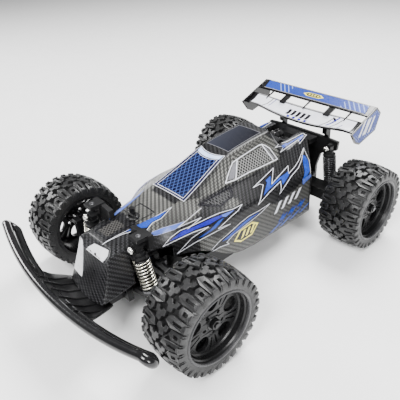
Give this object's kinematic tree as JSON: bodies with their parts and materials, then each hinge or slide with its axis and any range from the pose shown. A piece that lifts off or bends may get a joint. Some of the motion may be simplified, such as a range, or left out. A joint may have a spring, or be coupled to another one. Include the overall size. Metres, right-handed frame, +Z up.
{
  "type": "remote control car",
  "caption": "Radio-controlled off-road buggy with an open loop bumper, sprung suspension, steered front wheels, driven rear wheels and a tall rear wing.",
  "frame": {"origin": "on the ground under the middle of the car's bounding box", "axes": "+X to the car's left side, +Y to its rear wing, +Z up; the nose points to -Y"},
  "size_m": [0.2602, 0.3906, 0.1425],
  "materials": {
    "black_plastic": "satin moulded nylon",
    "printed_shell": "glossy printed shell",
    "cell_wrap": "shrink wrap",
    "circuit_board": "solder mask",
    "spring_steel": "bright spring wire",
    "wing_white": "glossy printed plastic",
    "wing_blue": "glossy printed plastic",
    "white_plastic": "acetal",
    "dark_steel": "blackened steel",
    "brass": "cut brass",
    "motor_can": "zinc plated",
    "rim_plastic": "glossy moulded plastic",
    "tyre_rubber": "matte rubber",
    "nut_steel": "plated"
  },
  "bodies": {
    "chassis": {"chassis_tub": "black_plastic", "battery_pack": "cell_wrap", "receiver_board": "circuit_board", "body_shell": "printed_shell", "body_clip": "spring_steel", "front_bumper": "black_plastic", "front_shock_tower": "black_plastic", "rear_shock_tower": "black_plastic", "wing_mount": "black_plastic", "wing": "wing_white", "wing_end_plate_left": "wing_blue", "wing_end_plate_right": "wing_blue", "steering_servo": "black_plastic", "gearbox_housing": "black_plastic", "motor": "motor_can", "engine_insert": "black_plastic"},
    "battery_door": {"battery_door": "black_plastic"},
    "power_switch": {"power_switch": "black_plastic"},
    "servo_horn": {"servo_horn": "white_plastic"},
    "steering_rack": {"steering_rack": "dark_steel"},
    "drive_gear": {"drive_gear": "white_plastic"},
    "motor_pinion": {"motor_pinion": "brass"},
    "front_lower_arm_left": {"front_lower_arm_left": "black_plastic"},
    "front_upper_arm_left": {"front_upper_arm_left": "black_plastic"},
    "front_hub_carrier_left": {"front_hub_carrier_left": "black_plastic"},
    "steering_knuckle_left": {"steering_knuckle_left": "black_plastic", "front_wheel_nut_left": "nut_steel"},
    "tie_rod_left": {"tie_rod_left": "dark_steel"},
    "rear_swing_arm_left": {"rear_swing_arm_left": "black_plastic"},
    "front_shock_rod_left": {"front_shock_rod_left": "dark_steel"},
    "rear_shock_rod_left": {"rear_shock_rod_left": "dark_steel"},
    "front_shock_body_left": {"front_shock_body_left": "black_plastic", "front_spring_left": "spring_steel"},
    "rear_shock_body_left": {"rear_shock_body_left": "black_plastic", "rear_spring_left": "dark_steel"},
    "front_wheel_left": {"front_rim_left": "rim_plastic", "front_tyre_left": "tyre_rubber"},
    "rear_wheel_left": {"rear_rim_left": "rim_plastic", "rear_tyre_left": "tyre_rubber", "rear_wheel_nut_left": "nut_steel", "drive_shaft_left": "dark_steel"},
    "front_lower_arm_right": {"front_lower_arm_right": "black_plastic"},
    "front_upper_arm_right": {"front_upper_arm_right": "black_plastic"},
    "front_hub_carrier_right": {"front_hub_carrier_right": "black_plastic"},
    "steering_knuckle_right": {"steering_knuckle_right": "black_plastic", "front_wheel_nut_right": "nut_steel"},
    "tie_rod_right": {"tie_rod_right": "dark_steel"},
    "rear_swing_arm_right": {"rear_swing_arm_right": "black_plastic"},
    "front_shock_rod_right": {"front_shock_rod_right": "dark_steel"},
    "rear_shock_rod_right": {"rear_shock_rod_right": "dark_steel"},
    "front_shock_body_right": {"front_shock_body_right": "black_plastic", "front_spring_right": "spring_steel"},
    "rear_shock_body_right": {"rear_shock_body_right": "black_plastic", "rear_spring_right": "dark_steel"},
    "front_wheel_right": {"front_rim_right": "rim_plastic", "front_tyre_right": "tyre_rubber"},
    "rear_wheel_right": {"rear_rim_right": "rim_plastic", "rear_tyre_right": "tyre_rubber", "rear_wheel_nut_right": "nut_steel", "drive_shaft_right": "dark_steel"}
  },
  "joints": [
    {"name": "front_suspension_left", "type": "hinge", "parent": "chassis", "child": "front_lower_arm_left", "pos_m": [0.022, -0.106, 0.036], "axis": [0, -1, 0], "range_deg": [-8, 10], "stiffness_Nm_per_rad": 2, "springref_deg": -4.58},
    {"name": "front_upper_pivot_left", "type": "hinge", "parent": "chassis", "child": "front_upper_arm_left", "pos_m": [0.022, -0.106, 0.06], "axis": [0, -1, 0], "range_deg": [-8.5, 10.5]},
    {"name": "front_carrier_pivot_left", "type": "hinge", "parent": "front_lower_arm_left", "child": "front_hub_carrier_left", "pos_m": [0.078, -0.106, 0.036], "axis": [0, -1, 0], "range_deg": [-10.5, 8.5]},
    {"name": "steering_left", "type": "hinge", "parent": "front_hub_carrier_left", "child": "steering_knuckle_left", "pos_m": [0.087, -0.106, 0.048], "axis": [0, 0, 1], "range_deg": [-22, 22]},
    {"name": "front_wheel_spin_left", "type": "hinge", "parent": "steering_knuckle_left", "child": "front_wheel_left", "pos_m": [0.105, -0.106, 0.048], "axis": [1, 0, 0], "continuous": true},
    {"name": "tie_rod_pivot_left", "type": "hinge", "parent": "steering_rack", "child": "tie_rod_left", "pos_m": [0.028, -0.09, 0.05], "axis": [0, -1, 0], "range_deg": [-8.5, 10.5]},
    {"name": "front_shock_pivot_left", "type": "hinge", "parent": "chassis", "child": "front_shock_body_left", "pos_m": [0.0375, -0.1185, 0.0896], "axis": [0, -1, 0], "range_deg": [-1.5, 1.5]},
    {"name": "front_shock_stroke_left", "type": "slide", "parent": "front_shock_body_left", "child": "front_shock_rod_left", "axis": [-0.3064, 0, 0.9519], "range_m": [-0.0048, 0.0058], "deforming": ["front_spring_left"]},
    {"name": "rear_suspension_left", "type": "hinge", "parent": "chassis", "child": "rear_swing_arm_left", "pos_m": [0.021, 0.136, 0.048], "axis": [0, -1, 0], "range_deg": [-8, 10], "stiffness_Nm_per_rad": 4.5, "springref_deg": -4.58},
    {"name": "rear_wheel_spin_left", "type": "hinge", "parent": "rear_swing_arm_left", "child": "rear_wheel_left", "pos_m": [0.105, 0.136, 0.048], "axis": [1, 0, 0], "continuous": true},
    {"name": "rear_shock_pivot_left", "type": "hinge", "parent": "chassis", "child": "rear_shock_body_left", "pos_m": [0.047, 0.152, 0.094], "axis": [0, -1, 0], "range_deg": [-2, 2]},
    {"name": "rear_shock_stroke_left", "type": "slide", "parent": "rear_shock_body_left", "child": "rear_shock_rod_left", "axis": [-0.1473, 0, 0.9891], "range_m": [-0.005, 0.006], "deforming": ["rear_spring_left"]},
    {"name": "front_suspension_right", "type": "hinge", "parent": "chassis", "child": "front_lower_arm_right", "pos_m": [-0.022, -0.106, 0.036], "axis": [0, 1, 0], "range_deg": [-8, 10], "stiffness_Nm_per_rad": 2, "springref_deg": -4.58},
    {"name": "front_upper_pivot_right", "type": "hinge", "parent": "chassis", "child": "front_upper_arm_right", "pos_m": [-0.022, -0.106, 0.06], "axis": [0, 1, 0], "range_deg": [-8.5, 10.5]},
    {"name": "front_carrier_pivot_right", "type": "hinge", "parent": "front_lower_arm_right", "child": "front_hub_carrier_right", "pos_m": [-0.078, -0.106, 0.036], "axis": [0, 1, 0], "range_deg": [-10.5, 8.5]},
    {"name": "steering_right", "type": "hinge", "parent": "front_hub_carrier_right", "child": "steering_knuckle_right", "pos_m": [-0.087, -0.106, 0.048], "axis": [0, 0, 1], "range_deg": [-22.5, 22.5]},
    {"name": "front_wheel_spin_right", "type": "hinge", "parent": "steering_knuckle_right", "child": "front_wheel_right", "pos_m": [-0.105, -0.106, 0.048], "axis": [1, 0, 0], "continuous": true},
    {"name": "tie_rod_pivot_right", "type": "hinge", "parent": "steering_rack", "child": "tie_rod_right", "pos_m": [-0.028, -0.09, 0.05], "axis": [0, 1, 0], "range_deg": [-8.5, 10.5]},
    {"name": "front_shock_pivot_right", "type": "hinge", "parent": "chassis", "child": "front_shock_body_right", "pos_m": [-0.0375, -0.1185, 0.0896], "axis": [0, 1, 0], "range_deg": [-1.5, 1.5]},
    {"name": "front_shock_stroke_right", "type": "slide", "parent": "front_shock_body_right", "child": "front_shock_rod_right", "axis": [0.3064, 0, 0.9519], "range_m": [-0.0048, 0.0058], "deforming": ["front_spring_right"]},
    {"name": "rear_suspension_right", "type": "hinge", "parent": "chassis", "child": "rear_swing_arm_right", "pos_m": [-0.021, 0.136, 0.048], "axis": [0, 1, 0], "range_deg": [-8, 10], "stiffness_Nm_per_rad": 4.5, "springref_deg": -4.58},
    {"name": "rear_wheel_spin_right", "type": "hinge", "parent": "rear_swing_arm_right", "child": "rear_wheel_right", "pos_m": [-0.105, 0.136, 0.048], "axis": [1, 0, 0], "continuous": true},
    {"name": "rear_shock_pivot_right", "type": "hinge", "parent": "chassis", "child": "rear_shock_body_right", "pos_m": [-0.047, 0.152, 0.094], "axis": [0, 1, 0], "range_deg": [-2, 2]},
    {"name": "rear_shock_stroke_right", "type": "slide", "parent": "rear_shock_body_right", "child": "rear_shock_rod_right", "axis": [0.1473, 0, 0.9891], "range_m": [-0.005, 0.006], "deforming": ["rear_spring_right"]},
    {"name": "rack_slide", "type": "slide", "parent": "chassis", "child": "steering_rack", "axis": [1, 0, 0], "range_m": [-0.0065, 0.0065]},
    {"name": "servo_horn_turn", "type": "hinge", "parent": "chassis", "child": "servo_horn", "pos_m": [0, -0.074, 0.0535], "axis": [0, 0, 1], "range_deg": [-22.5, 22.5]},
    {"name": "drive_gear_spin", "type": "hinge", "parent": "chassis", "child": "drive_gear", "pos_m": [0, 0.136, 0.048], "axis": [1, 0, 0], "continuous": true},
    {"name": "motor_pinion_spin", "type": "hinge", "parent": "chassis", "child": "motor_pinion", "pos_m": [0, 0.11889, 0.06511], "axis": [1, 0, 0], "continuous": true},
    {"name": "battery_door_hinge", "type": "hinge", "parent": "chassis", "child": "battery_door", "pos_m": [0, 0.0515, 0.0255], "axis": [1, 0, 0], "range_deg": [0, 90]},
    {"name": "power_switch_slide", "type": "slide", "parent": "chassis", "child": "power_switch", "axis": [0, 1, 0], "range_m": [0, 0.005]}
  ],
  "couplings": [
    {"joint": "front_upper_pivot_left", "follows": "front_suspension_left", "ratio": 1},
    {"joint": "front_carrier_pivot_left", "follows": "front_suspension_left", "ratio": -1},
    {"joint": "tie_rod_pivot_left", "follows": "front_suspension_left", "ratio": 1},
    {"joint": "front_shock_pivot_left", "follows": "front_suspension_left", "ratio": 0.035},
    {"joint": "front_shock_stroke_left", "follows": "front_suspension_left", "m_per_rad": 0.0311},
    {"joint": "rear_shock_pivot_left", "follows": "rear_suspension_left", "ratio": 0.105},
    {"joint": "rear_shock_stroke_left", "follows": "rear_suspension_left", "m_per_rad": 0.0325},
    {"joint": "front_upper_pivot_right", "follows": "front_suspension_right", "ratio": 1},
    {"joint": "front_carrier_pivot_right", "follows": "front_suspension_right", "ratio": -1},
    {"joint": "tie_rod_pivot_right", "follows": "front_suspension_right", "ratio": 1},
    {"joint": "front_shock_pivot_right", "follows": "front_suspension_right", "ratio": 0.035},
    {"joint": "front_shock_stroke_right", "follows": "front_suspension_right", "m_per_rad": 0.0311},
    {"joint": "rear_shock_pivot_right", "follows": "rear_suspension_right", "ratio": 0.105},
    {"joint": "rear_shock_stroke_right", "follows": "rear_suspension_right", "m_per_rad": 0.0325},
    {"joint": "rack_slide", "follows": "steering_left", "m_per_rad": -0.016},
    {"joint": "servo_horn_turn", "follows": "steering_left", "ratio": -1},
    {"joint": "steering_right", "follows": "steering_left", "ratio": 1},
    {"joint": "rear_wheel_spin_right", "follows": "rear_wheel_spin_left", "ratio": 1},
    {"joint": "drive_gear_spin", "follows": "rear_wheel_spin_left", "ratio": 1},
    {"joint": "motor_pinion_spin", "follows": "rear_wheel_spin_left", "ratio": -3}
  ]
}
